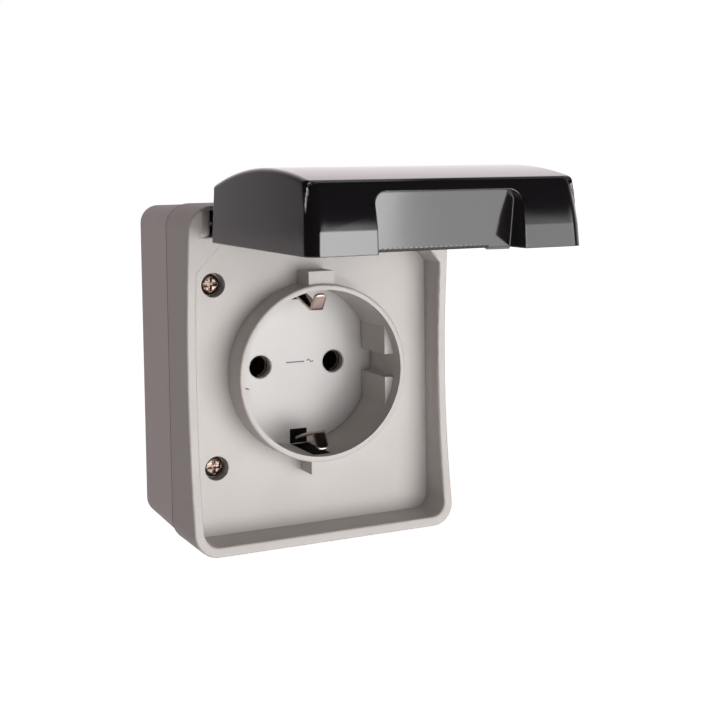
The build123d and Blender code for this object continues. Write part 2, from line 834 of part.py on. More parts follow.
def earth_clip(up):
    # Bent tongue that rises through the face, leans to the middle and turns out again
    root = (-face_back + strip_thickness, up * earth_root)
    floor_point = (-floor_depth, up * earth_root)
    apex = (-earth_apex_depth, up * (earth_apex_radius + strip_thickness / 2))
    tip = (-earth_tip_depth, up * earth_tip_radius)
    with BuildPart() as clip:
        with BuildSketch(Plane.YZ):
            with BuildLine():
                bend = FilletPolyline(root, floor_point, apex, tip, radius=earth_bend)
            trace(bend, strip_thickness)
        extrude(amount=earth_width / 2, both=True)
        short_edges = clip.edges().filter_by(lambda e: e.length < 1.5 * strip_thickness)
        fillet(short_edges.group_by(Axis.Y)[0], earth_tip_round)
    return clip.part


with BuildPart() as earth_contact:
    add(earth_clip(1))
    add(earth_clip(-1))
    with BuildSketch(front_plane(face_back - strip_thickness)):
        Rectangle(earth_width, 2 * earth_root + strip_thickness)
        with Locations((0, -earth_tail_top)):
            Rectangle(
                earth_tail_outer,
                2 * earth_tail_inner,
                align=(Align.MIN, Align.MAX),
            )
        with Locations((earth_tail_inner, -earth_tail_top)):
            Rectangle(
                earth_tail_outer - earth_tail_inner,
                base_radius + strip_thickness - earth_tail_top,
                align=(Align.MIN, Align.MAX),
            )
    extrude(amount=strip_thickness)
    with BuildSketch(front_plane(strip_depth)):
        with Locations((earth_tail_inner, -base_radius - strip_thickness)):
            Rectangle(
                earth_tail_outer - earth_tail_inner,
                strip_thickness,
                align=(Align.MIN, Align.MIN),
            )
    extrude(amount=face_back - strip_depth)
    with BuildSketch(front_plane(strip_depth)):
        with Locations((earth_tail_outer, -base_radius)):
            Rectangle(
                earth_tail_outer + earth_foot_half,
                earth_foot_height,
                align=(Align.MAX, Align.MAX),
            )
        with Locations((0, -base_radius)):
            Rectangle(
                2 * earth_foot_half,
                strip_foot - base_radius,
                align=(Align.CENTER, Align.MAX),
            )
    extrude(amount=strip_thickness)
earth_contact.part.label = "earth_contact"

# Screws that hold the cover and the insert
cover_screw = pan_screw(
    cover_screw_head,
    cover_screw_head_height,
    cover_screw_thread,
    cover_screw_length,
)
cover_screw_top = facing_user(cover_screw_x, screw_seat_depth, cover_screw_z) * cover_screw
cover_screw_top.label = "cover_screw_top"
cover_screw_bottom = facing_user(cover_screw_x, screw_seat_depth, -cover_screw_z) * cover_screw
cover_screw_bottom.label = "cover_screw_bottom"
insert_screw = pan_screw(
    insert_screw_head,
    insert_screw_head_height,
    insert_screw_thread,
    insert_screw_length,
)
insert_seat = ear_depth + ear_thickness
insert_screw_left = facing_user(-insert_screw_x, insert_seat, 0) * insert_screw
insert_screw_left.label = "insert_screw_left"
insert_screw_right = facing_user(insert_screw_x, insert_seat, 0) * insert_screw
insert_screw_right.label = "insert_screw_right"

# Rubber entry seal, closed by a thin membrane
outer_face = -entry_flat
inner_face = -entry_flat + entry_wall
flange_face = outer_face - grommet_flange_height
ring_face = outer_face - grommet_ring_height
lip_face = inner_face + grommet_lip_height
with BuildPart() as cable_grommet:
    with BuildSketch(Plane.XZ):
        with BuildLine():
            Polyline(
                (0, outer_face - membrane_front),
                (membrane_radius, outer_face - membrane_front),
                (grommet_ring_inner, ring_face),
                (grommet_ring_top, ring_face),
                (grommet_ring_outer, flange_face),
                (grommet_flange, flange_face),
                (grommet_flange, outer_face),
                (entry_radius - running_gap, outer_face),
                (entry_radius - running_gap, inner_face),
                (grommet_lip, inner_face + loose_gap),
                (grommet_lip - grommet_lip_lead, lip_face),
                (entry_radius - grommet_wall, lip_face),
                (entry_radius - grommet_wall - grommet_lip_lead, outer_face - membrane_back),
                (0, outer_face - membrane_back),
                close=True,
            )
        make_face()
    revolve(axis=Axis.Z)
grommet = Pos(0, -entry_depth, 0) * cable_grommet.part
grommet.label = "cable_grommet"

os.makedirs("parts", exist_ok=True)
export_step(back_box.part, "parts/back_box.step")
export_step(cover.part, "parts/cover.step")
export_step(cover_gasket.part, "parts/cover_gasket.step")
export_step(lid.part, "parts/lid.step")
export_step(lid_seal.part, "parts/lid_seal.step")
export_step(hinge_pin.part, "parts/hinge_pin.step")
export_step(socket_face.part, "parts/socket_face.step")
export_step(dish_seal.part, "parts/dish_seal.step")
export_step(socket_base.part, "parts/socket_base.step")
export_step(contact_line, "parts/contact_line.step")
export_step(contact_neutral, "parts/contact_neutral.step")
export_step(earth_contact.part, "parts/earth_contact.step")
export_step(terminal_line, "parts/terminal_line.step")
export_step(terminal_earth, "parts/terminal_earth.step")
export_step(terminal_neutral, "parts/terminal_neutral.step")
export_step(screw_line, "parts/screw_line.step")
export_step(screw_earth, "parts/screw_earth.step")
export_step(screw_neutral, "parts/screw_neutral.step")
export_step(cover_screw_top, "parts/cover_screw_top.step")
export_step(cover_screw_bottom, "parts/cover_screw_bottom.step")
export_step(insert_screw_left, "parts/insert_screw_left.step")
export_step(insert_screw_right, "parts/insert_screw_right.step")
export_step(grommet, "parts/cable_grommet.step")
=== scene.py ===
import json
import math

import bmesh
import bpy
from mathutils import Matrix, Vector


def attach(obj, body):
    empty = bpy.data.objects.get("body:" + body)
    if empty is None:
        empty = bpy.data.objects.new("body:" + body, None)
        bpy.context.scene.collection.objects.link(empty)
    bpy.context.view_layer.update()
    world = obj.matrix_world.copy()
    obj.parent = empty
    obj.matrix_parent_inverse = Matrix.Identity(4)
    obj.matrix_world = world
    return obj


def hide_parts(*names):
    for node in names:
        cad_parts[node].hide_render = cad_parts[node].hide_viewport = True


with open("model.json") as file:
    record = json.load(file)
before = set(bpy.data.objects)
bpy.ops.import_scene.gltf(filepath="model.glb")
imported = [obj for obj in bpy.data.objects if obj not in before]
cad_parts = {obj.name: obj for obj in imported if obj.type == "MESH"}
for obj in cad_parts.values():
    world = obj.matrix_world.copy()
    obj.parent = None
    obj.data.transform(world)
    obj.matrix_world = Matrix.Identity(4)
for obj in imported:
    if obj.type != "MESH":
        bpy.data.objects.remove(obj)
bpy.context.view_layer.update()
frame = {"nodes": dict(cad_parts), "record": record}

bpy.context.scene.view_settings.view_transform = "Standard"
NODES = frame["nodes"]


def mm(x, y, z):
    # Point given in millimetres in the row frame
    return Vector((x, y, z)) / 1000


# Camera

YAW = math.radians(-28.68)
PITCH = math.radians(3.98)
ROLL = math.radians(0.47)
CAMERA_PLACE = mm(-127.803, -343.969, 51.024)
FOCAL_PIXELS = 1414.85
PRINCIPAL = (468.1, 251.75)
FRAME_PIXELS = 720
SENSOR_WIDTH = 36
NEAREST = 0.01
FARTHEST = 60


def make_camera():
    forward = Vector(
        (
            -math.sin(YAW) * math.cos(PITCH),
            math.cos(YAW) * math.cos(PITCH),
            -math.sin(PITCH),
        )
    )
    level = Vector((math.cos(YAW), math.sin(YAW), 0))
    down = forward.cross(level)
    right = math.cos(ROLL) * level + math.sin(ROLL) * down
    low = -math.sin(ROLL) * level + math.cos(ROLL) * down
    data = bpy.data.cameras.new("camera")
    data.sensor_width = SENSOR_WIDTH
    data.lens = FOCAL_PIXELS * data.sensor_width / FRAME_PIXELS
    data.shift_x = 0.5 - PRINCIPAL[0] / FRAME_PIXELS
    data.shift_y = PRINCIPAL[1] / FRAME_PIXELS - 0.5
    data.clip_start = NEAREST
    data.clip_end = FARTHEST
    cam = bpy.data.objects.new("camera", data)
    bpy.context.scene.collection.objects.link(cam)
    turn = Matrix((right, -low, -forward)).transposed().to_4x4()
    cam.matrix_world = Matrix.Translation(CAMERA_PLACE) @ turn
    bpy.context.scene.camera = cam


make_camera()


# Materials

# Range in which most values of a noise lie
MIDDLE = (0.3, 0.7)


class Nodes:
    """Short hand for the nodes of one material."""

    def __init__(self, name):
        self.mat = bpy.data.materials.new(name)
        self.mat.use_nodes = True
        self.tree = self.mat.node_tree
        self.bsdf = self.tree.nodes["Principled BSDF"]
        self.coord = self.add("ShaderNodeTexCoord").outputs["Object"]

    def add(self, kind, **values):
        node = self.tree.nodes.new(kind)
        for key, value in values.items():
            setattr(node, key, value)
        return node

    def fill(self, socket, value):
        # Gives a socket a node's output, a colour or a number
        if isinstance(value, bpy.types.NodeSocket):
            self.tree.links.new(value, socket)
        elif isinstance(value, tuple):
            socket.default_value = (*value, 1)
        else:
            socket.default_value = value

    def noise(self, scale, detail, rough, vector=None):
        node = self.add("ShaderNodeTexNoise")
        self.fill(node.inputs["Scale"], scale)
        self.fill(node.inputs["Detail"], detail)
        self.fill(node.inputs["Roughness"], rough)
        self.fill(node.inputs["Vector"], vector or self.coord)
        return node.outputs["Fac"]

    def spread(self, value, source, target=(0, 1)):
        # Carries one range of numbers over to another
        node = self.add("ShaderNodeMapRange")
        ends = ("From Min", "From Max", "To Min", "To Max")
        for end, number in zip(ends, (*source, *target)):
            self.fill(node.inputs[end], number)
        self.fill(node.inputs["Value"], value)
        return node.outputs["Result"]

    def tint(self, value, first, second):
        # Mixes two colours, of which each may be a node's output
        node = self.add("ShaderNodeMix", data_type="RGBA")
        self.fill(node.inputs["A"], first)
        self.fill(node.inputs["B"], second)
        self.fill(node.inputs["Factor"], value)
        return node.outputs["Result"]

    def bump(self, height, strength, distance, under=None):
        node = self.add("ShaderNodeBump")
        self.fill(node.inputs["Strength"], strength)
        self.fill(node.inputs["Distance"], distance)
        self.fill(node.inputs["Height"], height)
        if under is not None:
            self.fill(node.inputs["Normal"], under)
        return node.outputs["Normal"]

    def soft_edges(self, radius):
        # Normal that rounds off sharp edges
        node = self.add("ShaderNodeBevel", samples=6)
        self.fill(node.inputs["Radius"], radius)
        return node.outputs["Normal"]

    def put(self, **values):
        for key, value in values.items():
            self.fill(self.bsdf.inputs[key.replace("_", " ")], value)
        return self.mat


def shades(colour, low, high):
    # A darker and a lighter shade of a colour
    return tuple(c * low for c in colour), tuple(min(1, c * high) for c in colour)


def spark_plastic(name, colour, rough):
    # Moulded plastic with the fine grain of an eroded mould
    n = Nodes(name)
    grain = n.noise(scale=3200, detail=3, rough=0.6)
    clouds = n.noise(scale=90, detail=3, rough=0.5)
    grained = n.bump(grain, strength=0.35, distance=0.00012)
    return n.put(
        Base_Color=n.tint(n.spread(grain, MIDDLE), *shades(colour, 0.955, 1.03)),
        Roughness=n.spread(clouds, MIDDLE, (rough - 0.04, rough + 0.04)),
        Normal=n.bump(clouds, strength=0.12, distance=0.0004, under=grained),
        IOR=1.49,
    )


def gloss_plastic(name, colour, rough, edge, coat=0.0):
    # Polished moulding with faint flow marks and softly broken edges
    n = Nodes(name)
    fine = n.noise(scale=2600, detail=2, rough=0.5)
    flow = n.noise(scale=55, detail=3, rough=0.45)
    grained = n.bump(fine, strength=0.06, distance=0.00004, under=n.soft_edges(edge))
    normal = n.bump(flow, strength=0.06, distance=0.0004, under=grained)
    return n.put(
        Base_Color=n.tint(flow, *shades(colour, 0.92, 1.06)),
        Roughness=n.spread(flow, MIDDLE, (rough - 0.02, rough + 0.03)),
        Normal=normal,
        IOR=1.5,
        Coat_Weight=coat,
        Coat_Roughness=rough,
        Coat_Normal=normal,
    )


def plain_metal(name, colour, dull, rough, dents=0.0, shade_depth=None, edge=0.0003):
    # Plated or stamped metal with fine scratches, dull patches and small dents. Behind a given
    # depth it is painted dark, as shade on the part hidden behind the dish floor
    n = Nodes(name)
    stretch = n.add("ShaderNodeMapping")
    stretch.inputs["Scale"].default_value = (1, 6, 1)
    n.fill(stretch.inputs["Vector"], n.coord)
    lines = n.noise(scale=1500, detail=3, rough=0.6, vector=stretch.outputs["Vector"])
    patches = n.noise(scale=420, detail=3, rough=0.6)
    shade = n.tint(n.spread(patches, (0.35, 0.7)), colour, dull)
    # Painted shade: darker behind the given depth, where the part lies hidden behind the floor
    if shade_depth is not None:
        fade = 0.0006
        parts = n.add("ShaderNodeSeparateXYZ")
        n.fill(parts.inputs[0], n.coord)
        inside = n.spread(parts.outputs["Y"], (-shade_depth, fade - shade_depth))
        shade = n.tint(inside, shade, HIDDEN_SHADE)
    scratched = n.bump(lines, strength=0.06, distance=0.00003, under=n.soft_edges(edge))
    return n.put(
        Base_Color=shade,
        Metallic=1.0,
        Roughness=n.spread(patches, MIDDLE, (rough - 0.05, rough + 0.08)),
        Normal=n.bump(patches, strength=dents, distance=0.0006, under=scratched),
    )


def soft_rubber(name, colour, shine=0.5):
    # Matt rubber, also the painted shade along the seam and, with less shine, in the slots
    n = Nodes(name)
    fine = n.noise(scale=1800, detail=3, rough=0.6)
    return n.put(
        Base_Color=n.tint(fine, *shades(colour, 0.8, 1.25)),
        Roughness=n.spread(fine, MIDDLE, (0.62, 0.78)),
        Normal=n.bump(fine, strength=0.3, distance=0.00012),
        Specular_IOR_Level=shine,
    )


def printed_ink(name, colour):
    # Pad print with worn patches
    n = Nodes(name)
    worn = n.noise(scale=2400, detail=3, rough=0.7)
    return n.put(
        Base_Color=n.tint(n.spread(worn, (0.42, 0.62)), *shades(colour, 1, 1.9)),
        Roughness=n.spread(worn, MIDDLE, (0.45, 0.6)),
        Normal=n.bump(worn, strength=0.2, distance=0.00003),
    )


COVER_GREY = (0.555, 0.520, 0.500)
HOUSING_GREY = (0.635, 0.580, 0.575)
# Near black: painted shade for the base, which shows only deep in the pin holes
BASE_GREY = (0.02, 0.02, 0.021)
FACE_PALE = (0.505, 0.490, 0.480)
LID_BLACK = (0.008, 0.0070, 0.0085)
SEAL_BLACK = (0.03, 0.03, 0.03)
LID_SEAL_BLACK = (0.022, 0.022, 0.022)
# Brass darkened far below its own colour: painted shade for the sleeves deep in the pin holes
BRASS = (0.10, 0.075, 0.05)
BRASS_DULL = (0.05, 0.038, 0.027)
NICKEL = (0.70, 0.58, 0.52)
NICKEL_DULL = (0.58, 0.46, 0.40)
# Painted shade for the parts of the earth clips behind the dish floor
HIDDEN_SHADE = (0.03, 0.026, 0.024)
PIN_STEEL = (0.56, 0.55, 0.54)
PIN_DULL = (0.46, 0.45, 0.44)
# Steel darkened far below its own colour: painted shade and dark reflection for the screw heads
# deep in their holes
SCREW_STEEL = (0.27, 0.20, 0.165)
SCREW_DULL = (0.08, 0.057, 0.045)
SLOT_BLACK = (0.0045, 0.0035, 0.0035)
GAP_BLACK = (0.045, 0.033, 0.031)
INK_GREY = (0.045, 0.036, 0.042)

MATERIALS = {
    "housing_grey": spark_plastic("housing_grey_plastic", HOUSING_GREY, rough=0.55),
    "cover_grey": spark_plastic("cover_grey_plastic", COVER_GREY, rough=0.55),
    "lid_anthracite": gloss_plastic(
        "lid_anthracite_plastic", LID_BLACK, rough=0.10, edge=0.0004, coat=1.0
    ),
    "face_white": gloss_plastic("face_pale_plastic", FACE_PALE, rough=0.32, edge=0.0002),
    "base_grey": spark_plastic("base_grey_plastic", BASE_GREY, rough=0.6),
    "seal_rubber": soft_rubber("seal_rubber_black", SEAL_BLACK),
    "lid_rubber": soft_rubber("lid_rubber_black", LID_SEAL_BLACK),
    "contact_brass": plain_metal("contact_brass_metal", BRASS, BRASS_DULL, rough=0.45),
    # The earth clips get painted shade behind the dish floor
    "nickel": plain_metal(
        "nickel_metal", NICKEL, NICKEL_DULL, rough=0.10, shade_depth=0.0222, edge=0.0007
    ),
    "pin_steel": plain_metal("pin_steel_metal", PIN_STEEL, PIN_DULL, rough=0.3),
    "screw_steel": plain_metal("screw_steel_metal", SCREW_STEEL, SCREW_DULL, rough=0.16, dents=1.0),
}
LID_TRIM = gloss_plastic("lid_trim_plastic", LID_BLACK, rough=0.12, edge=0.00002, coat=1.0)
# Painted shade for the seam between box and cover
SEAM_PAINTED_SHADE = soft_rubber("gap_shade_dark", GAP_BLACK)
# Painted shade for the earth slots and the dish wall behind the clips
SLOT_PAINTED_SHADE = soft_rubber("slot_painted_shade", SLOT_BLACK, shine=0.05)
INK = printed_ink("mark_ink_grey", INK_GREY)

for row in frame["record"]["subparts"]:
    node = NODES[row["node"]]
    node.data.materials.clear()
    node.data.materials.append(MATERIALS[row["material_slot"]])


# Added detail


def piece_from(name, bm, body, material):
    # Turns mesh code into a piece that rides on a body
    bmesh.ops.recalc_face_normals(bm, faces=bm.faces)
    data = bpy.data.meshes.new(name)
    bm.to_mesh(data)
    bm.free()
    piece = bpy.data.objects.new(name, data)
    bpy.context.scene.collection.objects.link(piece)
    data.materials.append(material)
    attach(piece, body)
    return piece


def loft(bm, rings, endless=False):
    # Skin over a row of closed rings, with a face at both ends or joined end to end
    made = [[bm.verts.new(p) for p in ring] for ring in rings]
    later = made[1:] + made[:1] if endless else made[1:]
    for one, two in zip(made, later):
        for i in range(len(one)):
            j = (i + 1) % len(one)
            bm.faces.new((one[i], one[j], two[j], two[i]))
    if not endless:
        bm.faces.new(made[0])
        bm.faces.new(made[-1])


FLOOR_DEPTH = 22.8
INK_RISE = 0.012


def ink_line(bm, points, width):
    # Flat printed line on the dish floor through points given as x and z
    rings = []
    for k, (x, z) in enumerate(points):
        x0, z0 = points[max(k - 1, 0)]
        x1, z1 = points[min(k + 1, len(points) - 1)]
        along = Vector((x1 - x0, z1 - z0)).normalized() * width / 2
        rings.append(
            [
                mm(x - along.y, -FLOOR_DEPTH + INK_RISE, z + along.x),
                mm(x + along.y, -FLOOR_DEPTH + INK_RISE, z - along.x),
                mm(x + along.y, -FLOOR_DEPTH - INK_RISE, z - along.x),
                mm(x - along.y, -FLOOR_DEPTH - INK_RISE, z + along.x),
            ]
        )
    loft(bm, rings)


def add_floor_mark():
    # A plain bar and a wave, the sign for alternating current, on the floor of the dish
    bar_left, bar_right, bar_height, bar_width = -2.85, 1.85, 0.55, 0.3
    wave_left, wave_length, wave_height, swing, wave_width = 2.5, 1.7, 0.62, 0.3, 0.26
    steps = 16
    bm = bmesh.new()
    ink_line(bm, [(bar_left, bar_height), (bar_right, bar_height)], bar_width)
    wave = []
    for k in range(steps + 1):
        share = k / steps
        z = wave_height + swing * math.sin(2 * math.pi * share)
        wave.append((wave_left + wave_length * share, z))
    ink_line(bm, wave, wave_width)
    piece_from("floor_mark", bm, "housing", INK)


GRIP_FOOT = Vector((0, -98.7, 32.2))
GRIP_TILT = math.radians(10)
GRIP_UP = Vector((0, -math.sin(GRIP_TILT), math.cos(GRIP_TILT)))
GRIP_OUT = Vector((0, -math.cos(GRIP_TILT), -math.sin(GRIP_TILT)))


def rib_ring(x, half, base, proud, foot):
    # Outline of one rib around x: a swell in front and a flat back inside the grip
    steps = 10
    root = GRIP_OUT * -0.1
    ring = []
    for j in range(steps + 1):
        share = j / steps
        swell = 0.5 - 0.5 * math.cos(2 * math.pi * share)
        across = Vector((x + half * (2 * share - 1), 0, 0))
        ring.append((foot + across + GRIP_OUT * (base + proud * swell)) / 1000)
    ring.append((foot + Vector((x + half, 0, 0)) + root) / 1000)
    ring.append((foot + Vector((x - half, 0, 0)) + root) / 1000)
    return ring


def add_grip_ribs():
    # Fine low ribs along the foot of the grip that fade out upwards
    count, first, pitch, half = 22, -12.6, 1.1, 0.5
    low, high, end = 0.03, 0.7, 1.2
    base, proud, sunk = 0.001, 0.018, -0.03
    bm = bmesh.new()
    for k in range(count):
        rings = []
        for up, level, swell in ((low, base, proud), (high, base, proud), (end, sunk, 0)):
            rings.append(rib_ring(first + k * pitch, half, level, swell, GRIP_FOOT + GRIP_UP * up))
        loft(bm, rings)
    piece = piece_from("grip_ribs", bm, "lid", LID_TRIM)
    for face in piece.data.polygons:
        face.use_smooth = abs(face.normal.y) > 0.9


def add_grip_tab():
    # Low tab at the right end of the foot of the grip
    front, back, top, corner = -98.66, -97.78, 32.3, 0.08
    bm = bmesh.new()
    rings = []
    for x, low in ((10.5, 32.15), (10.9, 31.82), (15.6, 31.78), (15.95, 31.82)):
        rings.append(
            [
                mm(x, front, top),
                mm(x, front, low + corner),
                mm(x, front + corner, low),
                mm(x, back - corner, low),
                mm(x, back, low + corner),
                mm(x, back, top),
            ]
        )
    loft(bm, rings)
    piece_from("grip_tab", bm, "lid", LID_TRIM)


def add_slot_shades():
    # Near-black sheets of painted shade over the earth slots and on the dish wall behind the clips
    half, slot_near, slot_far = 2.2, 15.9, 19.45
    groove_near, groove_far, groove_foot, groove_front = 19.56, 19.7, 23.4, 37.6
    steps = 6
    for name, side in (("slot_shade_top", 1), ("slot_shade_bottom", -1)):
        bm = bmesh.new()
        rings = []
        for depth in (22.79, 22.815):
            rings.append(
                [
                    mm(-half, -depth, slot_near * side),
                    mm(half, -depth, slot_near * side),
                    mm(half, -depth, slot_far * side),
                    mm(-half, -depth, slot_far * side),
                ]
            )
        loft(bm, rings)
        rings = []
        for k in range(steps + 1):
            x = -half + 2 * half * k / steps
            near = math.sqrt(groove_near**2 - x**2) * side
            far = math.sqrt(groove_far**2 - x**2) * side
            rings.append(
                [
                    mm(x, -groove_foot, near),
                    mm(x, -groove_front, near),
                    mm(x, -groove_front, far),
                    mm(x, -groove_foot, far),
                ]
            )
        loft(bm, rings)
        piece_from(name, bm, "housing", SLOT_PAINTED_SHADE)


def add_seam_line():
    # Thin dark strip of painted shade along the seam, the shade of the gap between box and cover
    half_x, half_z, corner, rise = 32.62, 39.72, 5.52, 0.3
    depth_back, depth_front, band = 24.9, 25.12, 0.3
    steps = 10
    section = (
        (corner, depth_back),
        (corner, depth_front),
        (corner - band, depth_front),
        (corner - band, depth_back),
    )
    bm = bmesh.new()
    rings = []
    for turn, side_x, side_z in ((0, 1, 1), (1, -1, 1), (2, -1, -1), (3, 1, -1)):
        centre_x = side_x * (half_x - corner)
        centre_z = side_z * (half_z - corner) + rise
        for j in range(steps + 1):
            a = math.radians(90 * turn + 90 * j / steps)
            ring = []
            for radius, depth in section:
                ring.append(
                    mm(centre_x + radius * math.cos(a), -depth, centre_z + radius * math.sin(a))
                )
            rings.append(ring)
    loft(bm, rings, endless=True)
    piece_from("seam_line", bm, "housing", SEAM_PAINTED_SHADE)


def add_trough_flares():
    # Rounded ends of the hinge trough, which turn from the front of the rim into its depth.
    # Their front follows the waisted rim
    outer, reach, back = 29.98, 3.4, 37.4
    foot, height, levels, steps = 32.7, 6.5, 8, 16
    waist_front, waist_height, waist_curve = 38.8, 0.3, 402
    for name, side in (("trough_flare_left", -1), ("trough_flare_right", 1)):
        bm = bmesh.new()
        rings = []
        for j in range(levels + 1):
            z = foot + height * j / levels
            front = waist_front + (z - waist_height) ** 2 / waist_curve
            ring = [mm(side * outer, -back, z)]
            for k in range(steps + 1):
                a = math.pi / 2 * (1 - k / steps)
                x = outer - reach * math.cos(a)
                ring.append(mm(side * x, -back - (front - back) * math.sin(a), z))
            rings.append(ring)
        loft(bm, rings)
        piece = piece_from(name, bm, "housing", MATERIALS["cover_grey"])
        for face in piece.data.polygons:
            face.use_smooth = abs(face.normal.z) < 0.9


# Dressed lid

DRAFT = math.tan(math.radians(2.5))
LID_FOOT = 32.2
LID_CROWN = 45.9
CAD_NOSE = -105.5
CAD_TURN = 37.9
CAD_LEAN = math.radians(16.5)
CAD_LINE = 38.89
LINE_SLACK = 0.03
NOSE = -104.9
FACET_LINE = 36.8
BOW_RADIUS = 40
BOW_LEAN = math.radians(9)
BOW_LEVELS = (39.7, 40.6, 41.5, 42.4, 43.2, 44.1, 45.0)
FRONT_BAND = -102.0
GRIP_HALF = 16.05
GRIP_TOP = 41.5
GRIP_SIDE = 17
WIDEN_FROM = 23.5
CAD_SHOULDER = 5.9
SHOULDER = 6.45
WIDEN_AHEAD = -42.0
BARREL_FRONT = -0.0412
BARREL_END = 26.4
SHARP = math.radians(34)
WELD = 0.000002
CUT_SLACK = 0.000001


def lid_front(z):
    # Front of the lid in the CAD model at a height in millimetres
    return CAD_NOSE + max((z - LID_FOOT) * DRAFT, (z - CAD_TURN) * math.tan(CAD_LEAN))


def bowed_front(z):
    # Front of the dressed lid: almost upright below the facet line and bowed back above it
    up = max(0, z - FACET_LINE)
    middle = BOW_RADIUS * math.cos(BOW_LEAN)
    bow = middle - math.sqrt(BOW_RADIUS**2 - (up + BOW_RADIUS * math.sin(BOW_LEAN)) ** 2)
    return NOSE + (min(z, FACET_LINE) - LID_FOOT) * DRAFT + bow


def dressed_height(x, z):
    # Height that a point on the front moves to. The top of the grip stays in its place
    if z <= CAD_LINE + LINE_SLACK:
        return LID_FOOT + (z - LID_FOOT) * (FACET_LINE - LID_FOOT) / (CAD_LINE - LID_FOOT)
    if z < LID_CROWN and not (abs(x) < GRIP_HALF and z > GRIP_TOP):
        return LID_CROWN - (LID_CROWN - z) * (LID_CROWN - FACET_LINE) / (LID_CROWN - CAD_LINE)
    return z


def move_points(bm):
    # Bows the front, lowers the facet line and widens the shoulders of the lid
    for v in bm.verts:
        x, y, z = v.co * 1000
        if y < FRONT_BAND:
            new_z = dressed_height(x, z)
            if abs(x) > GRIP_SIDE:
                x += math.copysign((z - new_z) * DRAFT, x)
            y += bowed_front(new_z) - lid_front(z)
            z = new_z
        if abs(x) > WIDEN_FROM and y < WIDEN_AHEAD:
            x = math.copysign(WIDEN_FROM + (abs(x) - WIDEN_FROM) * SHOULDER / CAD_SHOULDER, x)
        v.co = mm(x, y, z)


def end_barrel(bm, side):
    # Cuts one end of the hinge barrel off at the flare and closes it
    barrel = [f for f in bm.faces if all(v.co.y > BARREL_FRONT for v in f.verts)]
    rim = {e for f in barrel for e in f.edges} | {v for f in barrel for v in f.verts}
    bmesh.ops.bisect_plane(
        bm,
        geom=list(rim) + barrel,
        plane_co=mm(side * BARREL_END, 0, 0),
        plane_no=(side, 0, 0),
        dist=CUT_SLACK,
    )
    end = BARREL_END / 1000
    near = 0.00001
    beyond = [
        f for f in bm.faces
        if all(v.co.y > BARREL_FRONT and side * v.co.x > end - near for v in f.verts)
    ]
    bmesh.ops.delete(bm, geom=beyond, context="FACES")
    open_edges = [
        e for e in bm.edges if e.is_boundary and abs(side * e.verts[0].co.x - end) < near
    ]
    bmesh.ops.bridge_loops(bm, edges=open_edges)


def mark_edges(bm):
    # Smooth faces that meet in sharp edges and along the facet line
    near, front = 0.00004, -0.1
    for face in bm.faces:
        face.smooth = True
    for edge in bm.edges:
        line = all(
            abs(v.co.z - FACET_LINE / 1000) < near and v.co.y < front for v in edge.verts
        )
        edge.smooth = not line and edge.calc_face_angle(0) < SHARP


def dress_lid():
    # Lid with a bowed upper front, a lower facet line, sides that fill the recess better and
    # a barrel that ends at the flares of the trough
    bm = bmesh.new()
    bm.from_mesh(NODES["lid"].data)
    bmesh.ops.remove_doubles(bm, verts=bm.verts, dist=WELD)
    for level in BOW_LEVELS:
        bmesh.ops.bisect_plane(
            bm,
            geom=bm.verts[:] + bm.edges[:] + bm.faces[:],
            plane_co=mm(0, 0, level),
            plane_no=(0, 0, 1),
            dist=CUT_SLACK,
        )
    move_points(bm)
    for side in (-1, 1):
        end_barrel(bm, side)
    bm.normal_update()
    mark_edges(bm)
    data = bpy.data.meshes.new("lid_dressed")
    bm.to_mesh(data)
    bm.free()
    piece = bpy.data.objects.new("lid_dressed", data)
    bpy.context.scene.collection.objects.link(piece)
    data.materials.append(MATERIALS["lid_anthracite"])
    even = piece.modifiers.new("even_normals", "WEIGHTED_NORMAL")
    even.keep_sharp = True
    even.weight = 100
    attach(piece, "lid")
    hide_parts("lid")


add_floor_mark()
add_grip_ribs()
add_grip_tab()
add_slot_shades()
add_seam_line()
add_trough_flares()
dress_lid()


# Stage and light

FLOOR_HALF = 30
FLOOR_DROP = 0.75
FLOOR_COLOUR = (0.9, 0.9, 0.9, 1)
FLOOR_GLOW = 0.8


def add_floor():
    # Pale floor that takes shadows and looks almost white to the camera
    data = bpy.data.meshes.new("floor")
    corners = ((-1, -1), (1, -1), (1, 1), (-1, 1))
    data.from_pydata([(x * FLOOR_HALF, y * FLOOR_HALF, 0) for x, y in corners], [], [(0, 1, 2, 3)])
    floor = bpy.data.objects.new("floor", data)
    floor.location = (0, 0, -FLOOR_DROP)
    bpy.context.scene.collection.objects.link(floor)
    mat = bpy.data.materials.new("floor_pale")
    mat.use_nodes = True
    tree = mat.node_tree
    tree.nodes.clear()
    out = tree.nodes.new("ShaderNodeOutputMaterial")
    matt = tree.nodes.new("ShaderNodeBsdfDiffuse")
    matt.inputs["Color"].default_value = FLOOR_COLOUR
    glow = tree.nodes.new("ShaderNodeEmission")
    path = tree.nodes.new("ShaderNodeLightPath")
    share = tree.nodes.new("ShaderNodeMath")
    share.operation = "MULTIPLY"
    share.inputs[1].default_value = FLOOR_GLOW
    both = tree.nodes.new("ShaderNodeAddShader")
    tree.links.new(path.outputs["Is Camera Ray"], share.inputs[0])
    tree.links.new(share.outputs[0], glow.inputs["Strength"])
    tree.links.new(matt.outputs[0], both.inputs[0])
    tree.links.new(glow.outputs[0], both.inputs[1])
    tree.links.new(both.outputs[0], out.inputs["Surface"])
    data.materials.append(mat)


